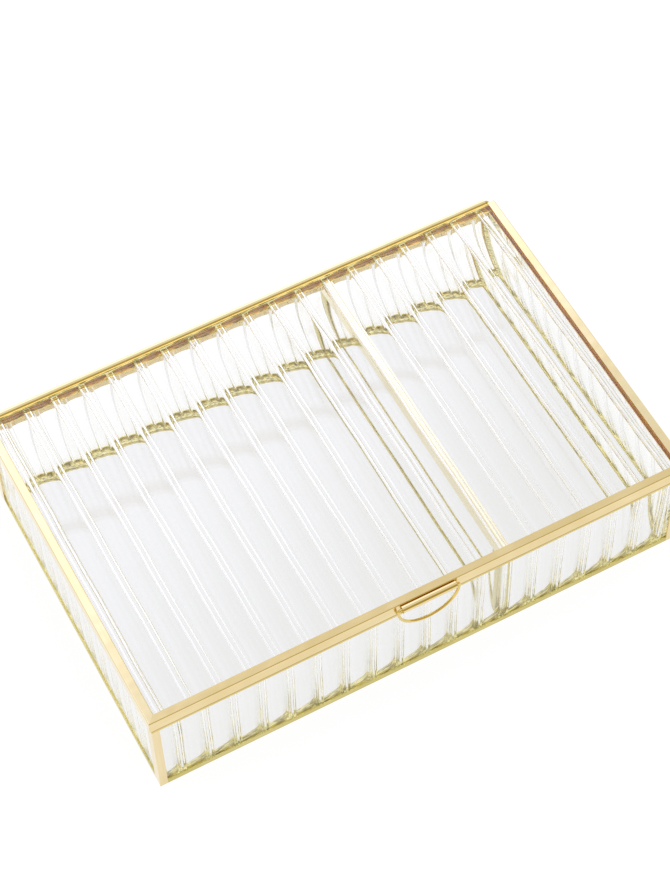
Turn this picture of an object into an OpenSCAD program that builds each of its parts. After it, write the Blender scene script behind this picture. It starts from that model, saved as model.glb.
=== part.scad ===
// Glass casket box: fluted glass panels edged in folded brass strip, with a hinged lid,
// one glass divider and a half-round wire pull. Millimetres.
// X runs along the front, Y to the back and Z up. The origin is on the surface that the
// box stands on, under the middle of its outline.

/* [Overall] */
// Width of the lid over its side strips
lid_w = 250; // [180:1:320]
// Depth of the lid from its front strip to its hinge edge
lid_d = 161.2; // [110:0.2:220]
// Height of the closed box
box_h = 58.5; // [45:0.5:90]

/* [Brass strip] */
// Thickness of the brass sheet that the strips are folded from
brass_t = 0.5; // [0.3:0.1:0.8]
// Width of the flange that covers the edge of the glass
edge_flange = 3.5; // [2.5:0.25:5]
// Height of the lid strips' outer face
lid_skirt = 6.5; // [5:0.25:8]
// Height of the rim strips' outer face
rim_leg = 6.5; // [5:0.25:9]
// Height of the bottom strips' outer face
bottom_leg = 3.25; // [2:0.25:6]
// Width of the bottom strips' flange, which carries the glass
bottom_flange = 5; // [4.5:0.25:8]
// Width of a corner post on the front and back
post_face = 3.5; // [2.5:0.25:6]
// Width of a corner post on the sides
post_side = 5; // [2.5:0.25:8]

/* [Glass] */
// Thickness of the fluted glass at its ridges
glass_t = 3; // [2.2:0.1:4]
// Thickness of the plain floor glass
floor_t = 3; // [2:0.1:4]
// Distance from one ridge of the lid's glass to the next
flute_pitch = 13.05; // [10:0.05:20]
// Distance from one ridge of the upright glass to the next
wall_flute_pitch = 12.75; // [10:0.05:20]
// Width of the rounded ridge between two flutes, foot to foot
ridge_w = 4; // [2.8:0.1:5]
// Height of the ridge above the edges of the flutes
ridge_h = 1.25; // [0.8:0.05:1.3]
// Depth of a flute below its edges
flute_depth = 0.55; // [0.2:0.05:0.65]
// Place of a lid ridge, from the middle of the lid
lid_flute_shift = -0.9; // [-6:0.1:6]
// Place of a ridge in the front glass, from the middle
front_flute_shift = 1.9; // [-6:0.1:6]
// Place of a ridge in the back glass, from the middle
back_flute_shift = 0.1; // [-6:0.1:6]
// Place of a ridge in the side glass, from the middle
side_flute_shift = 0; // [-6:0.1:6]

/* [Divider] */
// Distance of the divider from the middle of the box
divider_x = 38.6; // [-80:0.2:80]
// Thickness of the divider glass
divider_t = 3; // [2:0.1:4]
// Gap between the divider glass and each side of its channel
channel_gap = 0.25; // [0.05:0.05:0.5]
// Depth of the brass channel along each edge of the divider
channel_d = 4; // [2.5:0.25:7]

/* [Hinge] */
// Outer diameter of the hinge tube
hinge_tube_d = 3.2; // [2.6:0.1:4.5]
// Diameter of the bent hinge pins
pin_d = 1.6; // [1.2:0.1:1.8]
// Length of a pin inside the tube
pin_grip = 14; // [8:1:30]
// Length of a pin's leg down the corner post
pin_leg = 13; // [8:1:25]
// Distance from the side of the body to a pin's leg
pin_inset = 0.4; // [0:0.1:2]

/* [Pull] */
// Length of the tube that holds the pull
pull_tube_l = 25; // [16:1:50]
// Outer diameter of that tube
pull_tube_d = 3.2; // [2.4:0.1:4.5]
// Distance of the tube below the top of the lid
pull_tube_drop = 0.1; // [0:0.1:1]
// Diameter of the pull's wire
wire_d = 1.3; // [1:0.1:1.6]
// Length of wire inside each end of the tube
wire_grip = 6; // [3:0.5:7]

/* [Clearances] */
// Gap between the lid's skirt and the body
lid_clearance = 0.5; // [0.3:0.1:1.5]
// Gap between the lid's ridges and the rim
lid_seat = 0.3; // [0.2:0.05:0.5]
// Gap between the hinge tube and the rim under it
hinge_lift = 0.6; // [0.4:0.1:1]
// Gap around a pin or wire in its tube
running_gap = 0.05; // [0.02:0.01:0.1]
// Gap between a tube's end and the bend of its pin or wire
end_gap = 0.3; // [0.2:0.1:1]
// Gap around a pane of glass where it meets another part
glass_gap = 0.2; // [0.1:0.05:0.4]

/* [Hidden] */

brass = [0.90, 0.82, 0.60];
glass = [0.88, 0.92, 0.93, 0.45];
round_fn = 48;
flute_fn = 180;
// Overshoot of a cut past the faces that it opens
over = 1;

// Lid outline
lid_x = lid_w / 2;
front_y = -lid_d / 2;
back_y = lid_d / 2;
lid_glass_top = box_h - brass_t;
lid_ridge_z = lid_glass_top - glass_t;

// Hinge axis, just behind the lid, and the body's back against the pins
rim_top = lid_ridge_z - lid_seat;
hinge_y = back_y + hinge_tube_d / 2;
hinge_z = rim_top + hinge_lift + hinge_tube_d / 2;

// Body outline, inset under the lid's skirt
body_x = lid_x - brass_t - lid_clearance;
body_front_y = front_y + brass_t + lid_clearance;
body_back_y = hinge_y - pin_d / 2;
body_w = 2 * body_x;
body_d = body_back_y - body_front_y;
body_mid_y = (body_front_y + body_back_y) / 2;
rim_bottom = rim_top - rim_leg;

// Glass of the body: outer faces against the brass, ridges inwards
wall_front_y = body_front_y + brass_t;
wall_back_y = body_back_y - brass_t;
wall_x = body_x - brass_t;
wall_z = brass_t;
wall_h = rim_top - brass_t - wall_z;
inner_front_y = wall_front_y + glass_t;
inner_back_y = wall_back_y - glass_t;
inner_x = wall_x - glass_t;
inner_d = inner_back_y - inner_front_y;
floor_top = brass_t + floor_t;

// Flute: one shallow arc from ridge to ridge, with this slope and thickness at its edges
valley_slope = 2 * atan(2 * flute_depth / (flute_pitch - ridge_w));
valley_edge = glass_t - ridge_h;

// Ridge: a round top and two round feet of one radius, which meet on the flanks at the
// same slope and run into the flutes without an edge
ridge_reach = ridge_w / 2 * (1 + cos(valley_slope)) + ridge_h * sin(valley_slope);
ridge_diagonal = norm([ridge_w / 2, ridge_h]);
flank_slope = atan2(2 * ridge_h, ridge_w) + acos(ridge_reach / 2 / ridge_diagonal);
ridge_r = ridge_w / 2 / (2 * sin(flank_slope) - sin(valley_slope));
flank_x = ridge_r * sin(flank_slope);
flank_y = glass_t - ridge_r + ridge_r * cos(flank_slope);
// Height by which the feet lie deeper, so that neighbouring arcs cross instead of touching
arc_lap = 0.005;
// Width that a flute shares with the ridge beside it
valley_lap = 0.3;

// Divider
channel_w = divider_t + 2 * channel_gap + 2 * brass_t;
divider_run = inner_d - 2 * glass_gap;

// Hinge pins and tube
pin_bend = pin_d;
pin_leg_x = body_x - pin_inset - pin_d / 2;
hinge_tube_l = 2 * (pin_leg_x - pin_bend - end_gap);

// Pull
pull_y = front_y - pull_tube_d / 2;
pull_z = box_h - pull_tube_drop - pull_tube_d / 2;
wire_bend = wire_d;
pull_r = pull_tube_l / 2 + end_gap + wire_bend;

// Section of a folded strip, outer corner at the origin, flange along +X and leg along -Y
module folded_section(flange, leg) {
    translate([brass_t, -brass_t])
        square([flange - brass_t, brass_t]);
    translate([0, -leg])
        square([brass_t, leg - brass_t]);
    intersection() {
        translate([brass_t, -brass_t])
            circle(brass_t, $fn = round_fn);
        translate([0, -brass_t])
            square(brass_t);
    }
}

// Folded strip along X, outer face towards -Y at y = 0, flange on top at z = 0.
// mitre holds 1 for each end, low X and high X, that is cut at 45 degrees.
module folded_strip(l, flange, leg, mitre = [1, 1]) {
    reach = flange + over;
    low = [for (y = [-over, reach]) [-l / 2 + (mitre[0] == 1 ? y : -over), y]];
    high = [for (y = [reach, -over]) [l / 2 - (mitre[1] == 1 ? y : -over), y]];
    intersection() {
        rotate([90, 0, 90])
            translate([0, 0, -l / 2])
                linear_extrude(l)
                    folded_section(flange, leg);
        translate([0, 0, -leg - over])
            linear_extrude(leg + 2 * over)
                polygon(concat(low, high));
    }
}

// Bottom strip along X: flange below, leg up, with the leg cut back for the corner posts
module bottom_strip(l, post_w) {
    difference() {
        mirror([0, 0, 1])
            folded_strip(l, bottom_flange, bottom_leg);
        for (side = [-1, 1])
            translate([side * (l - post_w + over) / 2, 0, brass_t + bottom_leg])
                cube([post_w + over, 3 * bottom_flange, 2 * bottom_leg], center = true);
    }
}

// Section of a fluted pane: flat face on y = 0, tops of the ridges at y = glass_t
module fluted_section(w, pitch, shift) {
    first = floor((-w / 2 - shift) / pitch);
    last = ceil((w / 2 - shift) / pitch);
    intersection() {
        translate([-w / 2, 0])
            square([w, glass_t]);
        for (k = [first : last])
            translate([shift + k * pitch, 0]) {
                ridge_section();
                valley_section(pitch);
            }
    }
}

// Ridge on x = 0: a round top, and a foot that is hollowed on both sides
module ridge_section() {
    translate([0, glass_t - ridge_r])
        circle(ridge_r, $fn = flute_fn);
    difference() {
        translate([-ridge_w / 2, 0])
            square([ridge_w, flank_y]);
        for (side = [-1, 1])
            translate([side * 2 * flank_x, 2 * flank_y - glass_t + ridge_r - arc_lap])
                circle(ridge_r, $fn = flute_fn);
    }
}

// The flute on the right of a ridge that stands on x = 0, reaching a little under both ridges
module valley_section(pitch) {
    run = pitch - ridge_w;
    valley_r = run / 2 / sin(valley_slope);
    difference() {
        translate([ridge_w / 2 - valley_lap, 0])
            square([run + 2 * valley_lap, valley_edge + valley_lap]);
        translate([pitch / 2, valley_edge + valley_r * cos(valley_slope)])
            circle(valley_r, $fn = flute_fn);
    }
}

// Fluted pane, w wide along X and h tall along Z, flat face on y = 0
module fluted_pane(w, h, pitch, shift) {
    color(glass)
        linear_extrude(h)
            fluted_section(w, pitch, shift);
}

// Channel of folded brass along Y, open downwards, its web on top at z = 0
module channel(l) {
    color(brass)
        difference() {
            translate([-channel_w / 2, -l / 2, -channel_d])
                cube([channel_w, l, channel_d]);
            translate([-channel_w / 2 + brass_t, -l / 2 - over, -channel_d - over])
                cube([channel_w - 2 * brass_t, l + 2 * over, channel_d - brass_t + over]);
        }
}

// Quarter bend of round wire in the XZ plane, from the +X direction down to -Z
module wire_quarter(bend_r, d) {
    rotate([90, 0, 0])
        rotate_extrude(angle = 90, $fn = 2 * round_fn)
            translate([bend_r, 0])
                circle(d = d, $fn = round_fn);
}

// Tube along X, centred on the origin
module tube_along_x(l, d, bore) {
    color(brass)
        rotate([0, 90, 0])
            difference() {
                cylinder(h = l, d = d, center = true, $fn = round_fn);
                cylinder(h = l + 2 * over, d = bore, center = true, $fn = round_fn);
            }
}

// Body glass

module floor_glass() {
    color(glass)
        translate([-inner_x + glass_gap, inner_front_y + glass_gap, brass_t])
            cube([2 * (inner_x - glass_gap), inner_d - 2 * glass_gap, floor_t]);
}

module front_glass() {
    translate([0, wall_front_y, wall_z])
        fluted_pane(2 * wall_x, wall_h, wall_flute_pitch, front_flute_shift);
}

module back_glass() {
    translate([0, wall_back_y, wall_z])
        mirror([0, 1, 0])
            fluted_pane(2 * wall_x, wall_h, wall_flute_pitch, back_flute_shift);
}

module left_glass() {
    translate([-wall_x, body_mid_y, wall_z])
        rotate([0, 0, -90])
            fluted_pane(inner_d - 2 * glass_gap, wall_h, wall_flute_pitch, side_flute_shift);
}

module right_glass() {
    mirror([1, 0, 0])
        left_glass();
}

// Bottom frame

module bottom_front_strip() {
    color(brass)
        translate([0, body_front_y, 0])
            bottom_strip(body_w, post_face);
}

module bottom_back_strip() {
    color(brass)
        translate([0, body_back_y, 0])
            rotate([0, 0, 180])
                bottom_strip(body_w, post_face);
}

module bottom_left_strip() {
    color(brass)
        translate([-body_x, body_mid_y, 0])
            rotate([0, 0, -90])
                bottom_strip(body_d, post_side);
}

module bottom_right_strip() {
    mirror([1, 0, 0])
        bottom_left_strip();
}

// Corner posts, standing on the bottom frame under the rim

module post_front_left() {
    color(brass)
        translate([-body_x, body_front_y, brass_t])
            mirror([0, 1, 0])
                linear_extrude(rim_bottom - brass_t)
                    folded_section(post_face, post_side);
}

module post_front_right() {
    mirror([1, 0, 0])
        post_front_left();
}

module post_back_left() {
    color(brass)
        translate([-body_x, body_back_y, brass_t])
            linear_extrude(rim_bottom - brass_t)
                folded_section(post_face, post_side);
}

module post_back_right() {
    mirror([1, 0, 0])
        post_back_left();
}

// Rim frame

module rim_front_strip() {
    color(brass)
        translate([0, body_front_y, rim_top])
            folded_strip(body_w, edge_flange, rim_leg);
}

module rim_back_strip() {
    color(brass)
        translate([0, body_back_y, rim_top])
            rotate([0, 0, 180])
                folded_strip(body_w, edge_flange, rim_leg);
}

module rim_left_strip() {
    color(brass)
        translate([-body_x, body_mid_y, rim_top])
            rotate([0, 0, -90])
                folded_strip(body_d, edge_flange, rim_leg);
}

module rim_right_strip() {
    mirror([1, 0, 0])
        rim_left_strip();
}

// Divider: a plain pane with a brass channel along each edge

module divider_glass() {
    color(glass)
        translate([divider_x - divider_t / 2, inner_front_y + glass_gap + brass_t, floor_top + brass_t])
            cube([divider_t, divider_run - 2 * brass_t, rim_top - floor_top - 2 * brass_t]);
}

module divider_cap() {
    translate([divider_x, body_mid_y, rim_top])
        channel(divider_run);
}

module divider_base_channel() {
    translate([divider_x, body_mid_y, floor_top])
        mirror([0, 0, 1])
            channel(divider_run);
}

module divider_front_channel() {
    upright = rim_top - floor_top - 2 * channel_d;
    translate([divider_x, inner_front_y + glass_gap, (rim_top + floor_top) / 2])
        rotate([90, 0, 0])
            channel(upright);
}

module divider_back_channel() {
    upright = rim_top - floor_top - 2 * channel_d;
    translate([divider_x, inner_back_y - glass_gap, (rim_top + floor_top) / 2])
        rotate([-90, 0, 0])
            channel(upright);
}

// Hinge: two bent pins on the back posts, in a tube along the lid's back edge

module hinge_pin_right() {
    straight = pin_grip + end_gap;
    color(brass)
        translate([pin_leg_x - pin_bend, hinge_y, hinge_z]) {
            translate([-straight, 0, 0])
                rotate([0, 90, 0])
                    cylinder(h = straight, d = pin_d, $fn = round_fn);
            translate([0, 0, -pin_bend])
                wire_quarter(pin_bend, pin_d);
            translate([pin_bend, 0, -pin_bend - pin_leg])
                cylinder(h = pin_leg, d = pin_d, $fn = round_fn);
        }
}

module hinge_pin_left() {
    mirror([1, 0, 0])
        hinge_pin_right();
}

module hinge_tube() {
    translate([0, hinge_y, hinge_z])
        tube_along_x(hinge_tube_l, hinge_tube_d, pin_d + 2 * running_gap);
}

// Lid

module lid_glass() {
    edge = brass_t + glass_gap;
    translate([0, front_y + edge, lid_glass_top])
        rotate([-90, 0, 0])
            fluted_pane(lid_w - 2 * edge, lid_d - 2 * edge, flute_pitch, lid_flute_shift);
}

module lid_front_strip() {
    color(brass)
        translate([0, front_y, box_h])
            folded_strip(lid_w, edge_flange, lid_skirt);
}

module lid_left_strip() {
    color(brass)
        translate([-lid_x, 0, box_h])
            rotate([0, 0, -90])
                folded_strip(lid_d, edge_flange, lid_skirt, mitre = [0, 1]);
}

module lid_right_strip() {
    mirror([1, 0, 0])
        lid_left_strip();
}

module lid_back_strip() {
    color(brass)
        translate([-lid_x + brass_t, back_y - brass_t, lid_ridge_z])
            cube([lid_w - 2 * brass_t, brass_t, glass_t]);
}

// Pull: a wire ring that swings in a tube on the lid's front

module pull_tube() {
    translate([0, pull_y, pull_z])
        tube_along_x(pull_tube_l, pull_tube_d, wire_d + 2 * running_gap);
}

module pull_ring() {
    straight = wire_grip + end_gap;
    color(brass)
        translate([0, pull_y, pull_z]) {
            for (side = [0, 1])
                mirror([side, 0, 0])
                    translate([pull_r - wire_bend, 0, 0]) {
                        translate([-straight, 0, 0])
                            rotate([0, 90, 0])
                                cylinder(h = straight, d = wire_d, $fn = round_fn);
                        translate([0, 0, -wire_bend])
                            wire_quarter(wire_bend, wire_d);
                    }
            translate([0, 0, -wire_bend])
                rotate([-90, 0, 0])
                    rotate_extrude(angle = 180, $fn = 2 * round_fn)
                        translate([pull_r, 0])
                            circle(d = wire_d, $fn = round_fn);
        }
}

floor_glass();
front_glass();
back_glass();
left_glass();
right_glass();
bottom_front_strip();
bottom_back_strip();
bottom_left_strip();
bottom_right_strip();
post_front_left();
post_front_right();
post_back_left();
post_back_right();
rim_front_strip();
rim_back_strip();
rim_left_strip();
rim_right_strip();
divider_glass();
divider_cap();
divider_base_channel();
divider_front_channel();
divider_back_channel();
hinge_pin_left();
hinge_pin_right();
lid_glass();
lid_front_strip();
lid_left_strip();
lid_right_strip();
lid_back_strip();
hinge_tube();
pull_tube();
pull_ring();
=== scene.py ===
"""Glass casket box: the looks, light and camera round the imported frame.

Metres, Z up, the front towards -Y, the origin on the surface under the middle of the box.
"""
import math

import bmesh
import bpy
from mathutils import Matrix, Vector


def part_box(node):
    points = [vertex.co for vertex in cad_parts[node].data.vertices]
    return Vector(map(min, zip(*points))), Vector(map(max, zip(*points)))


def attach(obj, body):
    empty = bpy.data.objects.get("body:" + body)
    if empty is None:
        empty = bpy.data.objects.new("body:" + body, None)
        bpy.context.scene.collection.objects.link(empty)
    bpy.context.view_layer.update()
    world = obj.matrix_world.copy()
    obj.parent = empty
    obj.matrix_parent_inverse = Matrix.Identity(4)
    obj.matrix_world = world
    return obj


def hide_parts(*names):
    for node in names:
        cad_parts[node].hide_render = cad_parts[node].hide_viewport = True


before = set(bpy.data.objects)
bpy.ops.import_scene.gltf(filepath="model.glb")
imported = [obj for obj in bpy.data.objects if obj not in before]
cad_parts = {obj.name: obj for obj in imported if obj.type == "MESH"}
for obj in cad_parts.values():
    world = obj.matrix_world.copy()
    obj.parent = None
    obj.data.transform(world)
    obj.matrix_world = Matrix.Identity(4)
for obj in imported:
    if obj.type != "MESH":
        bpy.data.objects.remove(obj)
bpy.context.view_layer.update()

MM = 0.001

# Fluted glass, as in the frame: ridges with round tops and feet between shallow concave flutes
GLASS_T = 3.0 * MM
LID_PITCH = 13.05 * MM
WALL_PITCH = 12.75 * MM
FLUTE_DEPTH = 0.55 * MM
RIDGE_W = 4.0 * MM
RIDGE_H = 1.25 * MM
LID_SHIFT = -0.9 * MM
FRONT_SHIFT = 1.9 * MM
BACK_SHIFT = 0.1 * MM
# Points across a ridge and a flute, rows of points along a pane, and the least gap beside its edge
RIDGE_STEPS = 24
VALLEY_STEPS = 14
WALL_ROWS = 8
LID_ROWS = 40
LEAST_STEP = 0.1 * MM
# Gap left between a pane and the brass or glass that it lies against
SEAT_GAP = 0.02 * MM
# Rolled glass is never quite even: how far a ridge strays sideways, and over what length
STRAY = 0.12 * MM
STRAY_LENGTH = 62 * MM
# A second wave on top of the first: its share and how much quicker it is
STRAY_WAVE = (0.4, 2.7)
# Radians from one ridge's wave to the next, and the margin where the stray fades to none
STRAY_TURN = 1.7
STRAY_FADE = 4 * MM
# Chamfer on a plain pane, and the angle from which an edge isn't smoothed
GROUND_WIDTH = 0.25 * MM
SHARP_ANGLE = math.radians(30)

# Camera, solved from the box's corners in the photograph
PICTURE_W = 670
FOCAL_PIXELS = 2493.9
SENSOR_W = 36.0
CAMERA_AIM = Vector((0.01761, 0.03289, 0.0))
CAMERA_DISTANCE = 1.11446
CAMERA_AZIMUTH = math.radians(26.842)
CAMERA_ELEVATION = math.radians(56.978)
CAMERA_ROLL = math.radians(-1.626)

# Light that the metal and glass see: a bright window behind the box, a room, and a warm dim side
# in front. Each side has a direction and the edge where its light comes in
WINDOW_SIDE = Vector((-0.1995, 0.8865, -0.4184))
WINDOW_EDGE = (-0.04, 0.07)
WINDOW_LIGHT = (1.45, 1.47, 1.7)
# How far the window reaches to the left and right, and where it has ended
WINDOW_SPAN = (0.36, 0.5)
LEFT, RIGHT = Vector((-1, 0, 0)), Vector((1, 0, 0))
ROOM_LIGHT = (0.88, 0.88, 0.88)
DIM_SIDE = Vector((0.10, -0.90, -0.42))
DIM_EDGE = (0.02, 0.26)
DIM_LIGHT = (0.48, 0.38, 0.1)
# Brass: noise lumps per metre of its tarnish clouds, fine lines and dents, and how deep they are
CLOUD_LUMPS = 45
LINE_LUMPS = 1500
LINE_DEPTH = 0.002 * MM
DENT_LUMPS = 110
DENT_DEPTH = 0.06 * MM
# Roughness in and beside the fine lines, and how strongly they tint the brass
BRASS_ROUGHNESS = (0.05, 0.11)
LINE_SHARE = 0.6
# A painted shade line along the front rim, just under the lid's skirt: its heights, soft margin, tint
# and strength
PAINTED_SHADE_Z = (49.3 * MM, 51.2 * MM)
PAINTED_SHADE_FADE = 0.4 * MM
PAINTED_SHADE_TINT = (0.26, 0.17, 0.05)
PAINTED_SHADE_SHARE = 0.9
# Glass: the tint of what is seen through a pane, and of the light that falls through it
GLASS_TINT = (0.995, 0.995, 0.99)
SHADOW_TINT = (0.97, 0.97, 0.967)
# Paper: its grey level, what it gives by itself to the camera and to the glass and metal, and its
# share of that
PAPER_GREY = (0.9, 0.9, 0.9)
PAPER_GLOW = (1.12, 1.16)
PAPER_SHARE = (0.78, 0.7)
# What the paper and other matt surfaces receive from all sides
MATT_LEVEL = 1.0
# Light runs along inside the panes, so it takes many bounces
LIGHT_BOUNCES = 32
FLOOR_SIZE = 6.0
FLOOR_Z = -0.05 * MM


# Node helpers

def new_material(name):
    material = bpy.data.materials.new(name)
    material.use_nodes = True
    material.node_tree.nodes.clear()
    return material, material.node_tree.nodes, material.node_tree.links


def add_node(nodes, kind, **values):
    """A node with its properties and input values set by name."""
    node = nodes.new(kind)
    for key, value in values.items():
        if hasattr(node, key):
            setattr(node, key, value)
        else:
            node.inputs[key.replace("_", " ")].default_value = value
    return node


def noise(nodes, links, coords, scale, detail=3.0, stretch=(1, 1, 1)):
    """A noise pattern, scale in lumps per metre, stretched along the axes."""
    mapping = add_node(nodes, "ShaderNodeMapping")
    mapping.inputs["Scale"].default_value = stretch
    links.new(coords.outputs["Object"], mapping.inputs["Vector"])
    pattern = add_node(nodes, "ShaderNodeTexNoise", Scale=scale, Detail=detail)
    links.new(mapping.outputs["Vector"], pattern.inputs["Vector"])
    return pattern.outputs["Fac"]


def spread(nodes, links, value, low, high, start=0.3, end=0.7):
    """The value, mapped from start..end to low..high."""
    node = add_node(nodes, "ShaderNodeMapRange")
    for key, number in (("From Min", start), ("From Max", end), ("To Min", low), ("To Max", high)):
        node.inputs[key].default_value = number
    links.new(value, node.inputs["Value"])
    return node.outputs["Result"]


def bump(nodes, links, height, depth, normal=None):
    """A bumped normal, in metres deep, on top of another one if it is given."""
    node = add_node(nodes, "ShaderNodeBump", Strength=1.0, Distance=depth)
    links.new(height, node.inputs["Height"])
    if normal is not None:
        links.new(normal, node.inputs["Normal"])
    return node.outputs["Normal"]


# Materials

def mix_colour(nodes, links, share, low, high):
    """Two colours, each a tuple or an output, mixed by a share."""
    blend = add_node(nodes, "ShaderNodeMix", data_type="RGBA")
    links.new(share, blend.inputs["Factor"])
    for identifier, value in (("A_Color", low), ("B_Color", high)):
        socket = [s for s in blend.inputs if s.identifier == identifier][0]
        if isinstance(value, tuple):
            socket.default_value = (*value, 1)
        else:
            links.new(value, socket)
    return [s for s in blend.outputs if s.identifier == "Result_Color"][0]


def painted_shade_share(nodes, links, coords, low, high):
    """How strongly the painted shade line shows: all of its strength between two heights, none away
    from them.
    """
    height = add_node(nodes, "ShaderNodeSeparateXYZ")
    links.new(coords.outputs["Object"], height.inputs[0])
    above = spread(nodes, links, height.outputs["Z"], 0, PAINTED_SHADE_SHARE, low, low + PAINTED_SHADE_FADE)
    below = spread(nodes, links, height.outputs["Z"], 1, 0, high, high + PAINTED_SHADE_FADE)
    share = add_node(nodes, "ShaderNodeMath", operation="MULTIPLY")
    links.new(above, share.inputs[0])
    links.new(below, share.inputs[1])
    return share.outputs[0]


def brass(name, light, deep, grain, painted_shade=None):
    """Polished brass sheet: faint tarnish clouds, fine lines along the strip and an uneven sheet.

    A painted shade is the lower and upper height of a dark line of painted shade across the brass."""
    material, nodes, links = new_material(name)
    coords = add_node(nodes, "ShaderNodeTexCoord")
    clouds = noise(nodes, links, coords, CLOUD_LUMPS, detail=4)
    wiping = noise(nodes, links, coords, LINE_LUMPS, detail=2, stretch=grain)
    dents = noise(nodes, links, coords, DENT_LUMPS, detail=1)

    tint = mix_colour(nodes, links, spread(nodes, links, clouds, 0, 1), light, deep)
    lines = spread(nodes, links, wiping, 0, LINE_SHARE)
    tint = mix_colour(nodes, links, lines, tint, deep)
    # Painted shade: a dark line where the lid's skirt shades the rim
    if painted_shade is not None:
        tint = mix_colour(nodes, links, painted_shade_share(nodes, links, coords, *painted_shade), tint, PAINTED_SHADE_TINT)

    shader = add_node(nodes, "ShaderNodeBsdfPrincipled", Metallic=1.0)
    links.new(tint, shader.inputs["Base Color"])
    links.new(spread(nodes, links, wiping, *BRASS_ROUGHNESS), shader.inputs["Roughness"])
    sheet = bump(nodes, links, dents, DENT_DEPTH)
    links.new(bump(nodes, links, wiping, LINE_DEPTH, normal=sheet), shader.inputs["Normal"])
    output = add_node(nodes, "ShaderNodeOutputMaterial")
    links.new(shader.outputs["BSDF"], output.inputs["Surface"])
    return material


def glass(name, gloss, waves, wave_depth):
    """Clear glass that lets light through to what it shades, with the faint waves of rolled glass."""
    material, nodes, links = new_material(name)
    coords = add_node(nodes, "ShaderNodeTexCoord")
    ripple = noise(nodes, links, coords, waves, detail=1)
    shader = add_node(nodes, "ShaderNodeBsdfPrincipled", Roughness=0.0, IOR=1.5)
    shader.inputs["Transmission Weight"].default_value = 1.0
    shader.inputs["Specular IOR Level"].default_value = gloss
    shader.inputs["Base Color"].default_value = (*GLASS_TINT, 1)
    links.new(bump(nodes, links, ripple, wave_depth), shader.inputs["Normal"])

    through = add_node(nodes, "ShaderNodeBsdfTransparent")
    through.inputs["Color"].default_value = (*SHADOW_TINT, 1)
    path = add_node(nodes, "ShaderNodeLightPath")
    mix = add_node(nodes, "ShaderNodeMixShader")
    links.new(path.outputs["Is Shadow Ray"], mix.inputs["Fac"])
    links.new(shader.outputs["BSDF"], mix.inputs[1])
    links.new(through.outputs["BSDF"], mix.inputs[2])
    output = add_node(nodes, "ShaderNodeOutputMaterial")
    links.new(mix.outputs["Shader"], output.inputs["Surface"])
    return material


def ground_edge(name, light, deep, glow):
    """Ground edge of a pane: matt, olive and gold for a painted reflection of the brass, with a
    painted glow in the place of the light that the glass carries to it.
    """
    material, nodes, links = new_material(name)
    coords = add_node(nodes, "ShaderNodeTexCoord")
    tooth = noise(nodes, links, coords, 1200, detail=3)
    patches = noise(nodes, links, coords, 220, detail=3, stretch=(1, 1, 5))
    shader = add_node(nodes, "ShaderNodeBsdfPrincipled", Roughness=0.45, IOR=1.5)
    shade = mix_colour(nodes, links, spread(nodes, links, patches, 0, 1, 0.4, 0.6), light, deep)
    links.new(shade, shader.inputs["Base Color"])
    # Painted glow: the edge shines in its own painted colour though it is no lamp
    links.new(shade, shader.inputs["Emission Color"])
    shader.inputs["Emission Strength"].default_value = glow
    links.new(bump(nodes, links, tooth, 0.02 * MM), shader.inputs["Normal"])
    output = add_node(nodes, "ShaderNodeOutputMaterial")
    links.new(shader.outputs["BSDF"], output.inputs["Surface"])
    return material


def paper(name):
    """White paper that stays white to the camera, the metal and the glass, and keeps a soft shadow."""
    material, nodes, links = new_material(name)
    coords = add_node(nodes, "ShaderNodeTexCoord")
    tooth = noise(nodes, links, coords, 2500, detail=2)
    matt = add_node(nodes, "ShaderNodeBsdfDiffuse")
    matt.inputs["Color"].default_value = (*PAPER_GREY, 1)
    links.new(bump(nodes, links, tooth, 0.01 * MM), matt.inputs["Normal"])
    path = add_node(nodes, "ShaderNodeLightPath")
    glow = add_node(nodes, "ShaderNodeEmission")
    glow_level = spread(nodes, links, path.outputs["Is Camera Ray"], *PAPER_GLOW[::-1], 0, 1)
    links.new(glow_level, glow.inputs["Strength"])
    mirrored = add_node(nodes, "ShaderNodeMath", operation="MAXIMUM")
    links.new(path.outputs["Is Glossy Ray"], mirrored.inputs[0])
    links.new(path.outputs["Is Transmission Ray"], mirrored.inputs[1])
    mirrored_share = add_node(nodes, "ShaderNodeMath", operation="MULTIPLY")
    mirrored_share.inputs[1].default_value = PAPER_SHARE[1]
    links.new(mirrored.outputs[0], mirrored_share.inputs[0])
    share = add_node(nodes, "ShaderNodeMath", operation="MULTIPLY_ADD")
    share.inputs[1].default_value = PAPER_SHARE[0]
    links.new(path.outputs["Is Camera Ray"], share.inputs[0])
    links.new(mirrored_share.outputs[0], share.inputs[2])
    mix = add_node(nodes, "ShaderNodeMixShader")
    links.new(share.outputs[0], mix.inputs["Fac"])
    links.new(matt.outputs["BSDF"], mix.inputs[1])
    links.new(glow.outputs["Emission"], mix.inputs[2])
    output = add_node(nodes, "ShaderNodeOutputMaterial")
    links.new(mix.outputs["Shader"], output.inputs["Surface"])
    return material


# The fine lines run along the strip. Brasses: a light and a deep tint. Glass: gloss, waves per metre
# and how deep they are. The glass's edge: a light and a deep tint of painted reflection, and its
# painted glow
ALONG_X, ALONG_Y, ALONG_Z = (0.03, 1, 1), (1, 0.03, 1), (1, 1, 0.03)
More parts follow.
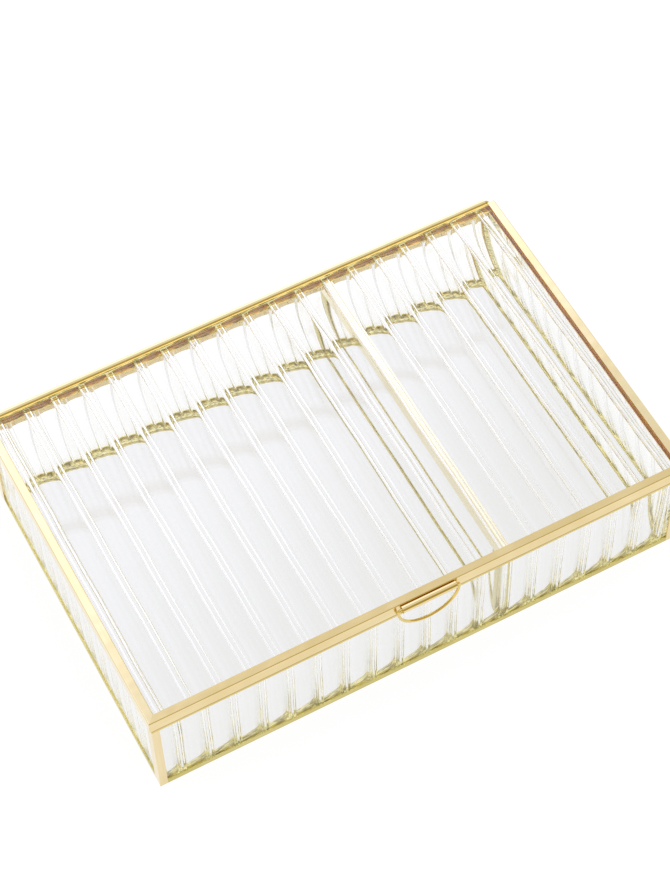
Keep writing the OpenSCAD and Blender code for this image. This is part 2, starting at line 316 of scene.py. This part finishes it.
# Lit and shaded copies of one brass: the lid's side strips, the hinge tube and the divider cap are
# paler for a painted highlight of the window, and the front rim, the other rims, the lid's back strip,
# the pull ring and the base are darker for painted shade
FRONT_BRASS = brass("front_brass", (0.88, 0.72, 0.41), (0.78, 0.61, 0.29), ALONG_X)
LIT_SIDE_BRASS = brass("lit_side_brass", (0.91, 0.79, 0.51), (0.85, 0.70, 0.39), ALONG_Y)
POST_BRASS = brass("post_brass", (0.86, 0.72, 0.44), (0.80, 0.64, 0.34), ALONG_Z)
SHADED_RIM_BRASS = brass("shaded_rim_brass", (0.76, 0.61, 0.22), (0.70, 0.53, 0.15), ALONG_X, PAINTED_SHADE_Z)
SHADED_DEEP_BRASS = brass("shaded_deep_brass", (0.80, 0.62, 0.22), (0.74, 0.55, 0.16), ALONG_X)
SHADED_BASE_BRASS = brass("shaded_base_brass", (0.68, 0.59, 0.24), (0.57, 0.48, 0.14), ALONG_X)
LIT_PALE_BRASS = brass("lit_pale_brass", (0.93, 0.87, 0.68), (0.88, 0.79, 0.54), ALONG_Y)
FLUTED = glass("fluted_glass", 0.4, 55, 0.02 * MM)
PLAIN = glass("plain_glass", 0.2, 18, 0.01 * MM)
PAINTED_GLOW_EDGE = ground_edge("painted_glow_edge", (0.95, 0.87, 0.42), (0.20, 0.17, 0.02), 0.8)
BRASS_OF = {
    "lid_front_strip": FRONT_BRASS, "lid_left_strip": LIT_SIDE_BRASS, "lid_right_strip": LIT_SIDE_BRASS,
    "lid_back_strip": SHADED_DEEP_BRASS, "divider_cap": LIT_PALE_BRASS, "hinge_tube": LIT_SIDE_BRASS,
    "pull_tube": FRONT_BRASS, "pull_ring": SHADED_DEEP_BRASS,
    "rim_front_strip": SHADED_RIM_BRASS, "rim_back_strip": SHADED_DEEP_BRASS,
    "rim_left_strip": SHADED_DEEP_BRASS, "rim_right_strip": SHADED_DEEP_BRASS,
}


# Glass panes

def thickness_at(across, pitch):
    """Thickness of the fluted glass, across from the middle of a ridge.

    The slope where a flute meets a ridge follows from the lid's spacing, in all panes."""
    half = RIDGE_W / 2
    edge_slope = 2 * math.atan(2 * FLUTE_DEPTH / (LID_PITCH - RIDGE_W))
    reach = half * (1 + math.cos(edge_slope)) + RIDGE_H * math.sin(edge_slope)
    slope = math.atan2(RIDGE_H, half) + math.acos(reach / 2 / math.hypot(half, RIDGE_H))
    ridge_r = half / (2 * math.sin(slope) - math.sin(edge_slope))
    flank = ridge_r * math.sin(slope)

    off = abs((across + pitch / 2) % pitch - pitch / 2)
    if off <= flank:
        return GLASS_T - ridge_r + math.sqrt(ridge_r ** 2 - off ** 2)
    if off <= half:
        centre = GLASS_T - ridge_r + 2 * ridge_r * math.cos(slope)
        return centre - math.sqrt(ridge_r ** 2 - (2 * flank - off) ** 2)
    valley_r = (pitch / 2 - half) / math.sin(edge_slope)
    centre = GLASS_T - RIDGE_H + valley_r * math.cos(edge_slope)
    return centre - math.sqrt(valley_r ** 2 - (pitch / 2 - off) ** 2)


def flute_stations(width, pitch, shift):
    """Places across the pane where the fluted face has points, from one edge to the other."""
    valley_w = pitch - RIDGE_W
    stations = []
    first = math.floor((-width / 2 - shift) / pitch)
    last = math.ceil((width / 2 - shift) / pitch)
    for k in range(first, last + 1):
        ridge = shift + k * pitch
        stations += [ridge - RIDGE_W / 2 + RIDGE_W * i / RIDGE_STEPS for i in range(RIDGE_STEPS)]
        stations += [ridge + RIDGE_W / 2 + valley_w * i / VALLEY_STEPS for i in range(VALLEY_STEPS)]
    inside = [s for s in stations if abs(s) < width / 2 - LEAST_STEP]
    return [-width / 2] + inside + [width / 2]


def stray_at(across, along, width, pitch, shift, seed):
    """How far the glass strays sideways, across and along a pane."""
    fade = min(1.0, (width / 2 - abs(across)) / STRAY_FADE)
    phase = STRAY_TURN * round((across - shift) / pitch) + seed
    turn = 2 * math.pi * along / STRAY_LENGTH + phase
    share, quicker = STRAY_WAVE
    return STRAY * fade * (math.sin(turn) + share * math.sin(quicker * turn))


def fluted_pane(name, width, length, pitch, shift, rows, seed):
    """Fluted pane: across along X, flat face on Y = 0, ridges towards +Y, flutes running up Z.

    Its faces use material 0, and those on its four edges use material 1."""
    stations = flute_stations(width, pitch, shift)
    build = bmesh.new()
    rings = []
    for row in range(rows + 1):
        z = length * row / rows
        flat, fluted = [], []
        for across in stations:
            stray = stray_at(across, z, width, pitch, shift, seed)
            thickness = thickness_at(across - shift, pitch) - SEAT_GAP
            flat.append(build.verts.new((across, SEAT_GAP, z)))
            fluted.append(build.verts.new((across + stray, thickness, z)))
        rings.append(flat + fluted[::-1])
    count = len(rings[0])
    side_edges = (len(stations) - 1, count - 1)
    for low, high in zip(rings, rings[1:]):
        for i in range(count):
            j = (i + 1) % count
            face = build.faces.new((low[i], low[j], high[j], high[i]))
            face.material_index = 1 if i in side_edges else 0
    for ring in (rings[0], rings[-1]):
        for i in range(len(stations) - 1):
            face = build.faces.new((ring[i], ring[i + 1], ring[count - 2 - i], ring[count - 1 - i]))
            face.material_index = 1
    return finish_mesh(name, build)


def finish_mesh(name, build):
    """Turns the built faces outwards, smooths all but the sharp edges and makes the object."""
    bmesh.ops.recalc_face_normals(build, faces=build.faces)
    for face in build.faces:
        face.smooth = True
    for edge in build.edges:
        edge.smooth = edge.calc_face_angle(0) < SHARP_ANGLE
    mesh = bpy.data.meshes.new(name)
    build.to_mesh(mesh)
    build.free()
    piece = bpy.data.objects.new(name, mesh)
    bpy.context.scene.collection.objects.link(piece)
    return piece


def place(piece, columns, origin):
    """Puts a piece built in its own axes into the frame, with its mesh facing outwards."""
    turn = Matrix([Vector(c) for c in columns]).transposed().to_4x4()
    piece.data.transform(Matrix.Translation(origin) @ turn)
    if turn.determinant() < 0:
        piece.data.flip_normals()


def dress(piece, node, body, material):
    """Gives a pane its glass and its ground edges, and puts it in the place of its CAD node."""
    piece.data.materials.append(material)
    piece.data.materials.append(PAINTED_GLOW_EDGE)
    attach(piece, body)
    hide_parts(node)


def make_fluted_panes():
    """The four walls and the lid, each with its flat face outwards and a stray of its own."""
    low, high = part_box("front_glass")
    size = high - low
    long_wall = (size.x - 2 * SEAT_GAP, size.z - 2 * SEAT_GAP)
    lift = Vector((0, 0, SEAT_GAP))
    front = fluted_pane("front_pane", *long_wall, WALL_PITCH, FRONT_SHIFT, WALL_ROWS, seed=1)
    place(front, ((1, 0, 0), (0, 1, 0), (0, 0, 1)), Vector((0, low.y, low.z)) + lift)
    dress(front, "front_glass", "box", FLUTED)

    low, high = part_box("back_glass")
    back = fluted_pane("back_pane", *long_wall, WALL_PITCH, BACK_SHIFT, WALL_ROWS, seed=2)
    place(back, ((1, 0, 0), (0, -1, 0), (0, 0, 1)), Vector((0, high.y, low.z)) + lift)
    dress(back, "back_glass", "box", FLUTED)

    for name, node, side in (("left_pane", "left_glass", -1), ("right_pane", "right_glass", 1)):
        low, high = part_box(node)
        outer = low.x if side < 0 else high.x
        middle = (low.y + high.y) / 2
        size = (high.y - low.y, high.z - low.z - 2 * SEAT_GAP)
        pane = fluted_pane(name, *size, WALL_PITCH, 0, WALL_ROWS, seed=3 + side)
        place(pane, ((0, -1, 0), (-side, 0, 0), (0, 0, 1)), Vector((outer, middle, low.z)) + lift)
        dress(pane, node, "box", FLUTED)

    low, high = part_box("lid_glass")
    size = high - low
    lid = fluted_pane("lid_pane", size.x, size.y, LID_PITCH, LID_SHIFT, LID_ROWS, seed=5)
    place(lid, ((1, 0, 0), (0, 0, -1), (0, 1, 0)), Vector((0, low.y, high.z)))
    dress(lid, "lid_glass", "lid", FLUTED)


def plain_pane(name, node, body):
    """Plain pane in the place of a CAD node, with ground edges."""
    low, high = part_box(node)
    gap = Vector((SEAT_GAP,) * 3)
    size = high - low - 2 * gap
    build = bmesh.new()
    bmesh.ops.create_cube(build, size=1)
    bmesh.ops.scale(build, vec=size, verts=build.verts)
    bmesh.ops.bevel(build, geom=build.edges[:], offset=GROUND_WIDTH, segments=2, affect="EDGES")
    piece = finish_mesh(name, build)
    piece.data.transform(Matrix.Translation((low + high) / 2))
    dress(piece, node, body, PLAIN)
    thin = min(range(3), key=lambda axis: size[axis])
    for face in piece.data.polygons:
        face.material_index = 0 if abs(face.normal[thin]) > 0.5 else 1


def brass_of(name):
    """The brass of a node: the one listed for it, or else that of the posts or of the base."""
    if name.startswith("post_"):
        return POST_BRASS
    return BRASS_OF.get(name, SHADED_BASE_BRASS)


def dress_brass():
    """The brass nodes keep their shape and get the brass."""
    for name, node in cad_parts.items():
        if name.endswith("_glass"):
            continue
        node.data.materials.clear()
        node.data.materials.append(brass_of(name))


# Stage, light and camera

def make_floor():
    bpy.ops.mesh.primitive_plane_add(size=FLOOR_SIZE, location=(0, 0, FLOOR_Z))
    floor = bpy.context.object
    floor.name = "paper_floor"
    floor.data.materials.append(paper("paper"))


def make_world():
    """Room light with a window side and a dim side, plain white to the camera."""
    world = bpy.data.worlds.new("room")
    bpy.context.scene.world = world
    world.use_nodes = True
    nodes, links = world.node_tree.nodes, world.node_tree.links
    nodes.clear()
    coords = add_node(nodes, "ShaderNodeTexCoord")

    def side(towards, edge, below, light):
        """One light below the edge and another beyond it, measured towards a direction."""
        share = add_node(nodes, "ShaderNodeVectorMath", operation="DOT_PRODUCT")
        links.new(coords.outputs["Generated"], share.inputs[0])
        share.inputs[1].default_value = towards
        level = spread(nodes, links, share.outputs["Value"], 0, 1, *edge)
        level.node.interpolation_type = "SMOOTHSTEP"
        return mix_colour(nodes, links, level, below, light)

    dim = side(DIM_SIDE, DIM_EDGE, ROOM_LIGHT, DIM_LIGHT)
    left_ended = side(LEFT, WINDOW_SPAN, WINDOW_LIGHT, ROOM_LIGHT)
    window = side(RIGHT, WINDOW_SPAN, left_ended, ROOM_LIGHT)
    bright = side(WINDOW_SIDE, WINDOW_EDGE, dim, window)
    path = add_node(nodes, "ShaderNodeLightPath")
    shown = add_node(nodes, "ShaderNodeMath", operation="MAXIMUM")
    links.new(path.outputs["Is Glossy Ray"], shown.inputs[0])
    links.new(path.outputs["Is Transmission Ray"], shown.inputs[1])
    lit = mix_colour(nodes, links, shown.outputs[0], (MATT_LEVEL,) * 3, bright)

    room = add_node(nodes, "ShaderNodeBackground", Strength=1.0)
    links.new(lit, room.inputs["Color"])
    white = add_node(nodes, "ShaderNodeBackground", Strength=1.0)
    white.inputs["Color"].default_value = (1, 1, 1, 1)
    mix = add_node(nodes, "ShaderNodeMixShader")
    links.new(path.outputs["Is Camera Ray"], mix.inputs["Fac"])
    links.new(room.outputs["Background"], mix.inputs[1])
    links.new(white.outputs["Background"], mix.inputs[2])
    output = add_node(nodes, "ShaderNodeOutputWorld")
    links.new(mix.outputs["Shader"], output.inputs["Surface"])


def make_camera():
    """The photograph's camera: turned round the box, raised, and rolled a little."""
    sin_az, cos_az = math.sin(CAMERA_AZIMUTH), math.cos(CAMERA_AZIMUTH)
    sin_el, cos_el = math.sin(CAMERA_ELEVATION), math.cos(CAMERA_ELEVATION)
    back = Vector((-sin_az * cos_el, -cos_az * cos_el, sin_el))
    level = Vector((cos_az, -sin_az, 0))
    upright = back.cross(level)
    right = math.cos(CAMERA_ROLL) * level + math.sin(CAMERA_ROLL) * upright
    up = back.cross(right)
    data = bpy.data.cameras.new("camera")
    data.sensor_fit = "HORIZONTAL"
    data.sensor_width = SENSOR_W
    data.lens = FOCAL_PIXELS * SENSOR_W / PICTURE_W
    camera = bpy.data.objects.new("camera", data)
    turn = Matrix((right, up, back)).transposed().to_4x4()
    camera.matrix_world = Matrix.Translation(CAMERA_AIM + CAMERA_DISTANCE * back) @ turn
    bpy.context.scene.collection.objects.link(camera)
    bpy.context.scene.camera = camera


def set_look():
    scene = bpy.context.scene
    scene.view_settings.view_transform = "Standard"
    scene.cycles.caustics_refractive = False
    scene.cycles.max_bounces = LIGHT_BOUNCES
    scene.cycles.glossy_bounces = LIGHT_BOUNCES
    scene.cycles.transmission_bounces = LIGHT_BOUNCES
    scene.cycles.transparent_max_bounces = LIGHT_BOUNCES


make_fluted_panes()
plain_pane("floor_pane", "floor_glass", "box")
plain_pane("divider_pane", "divider_glass", "box")
dress_brass()
make_floor()
make_world()
make_camera()
set_look()
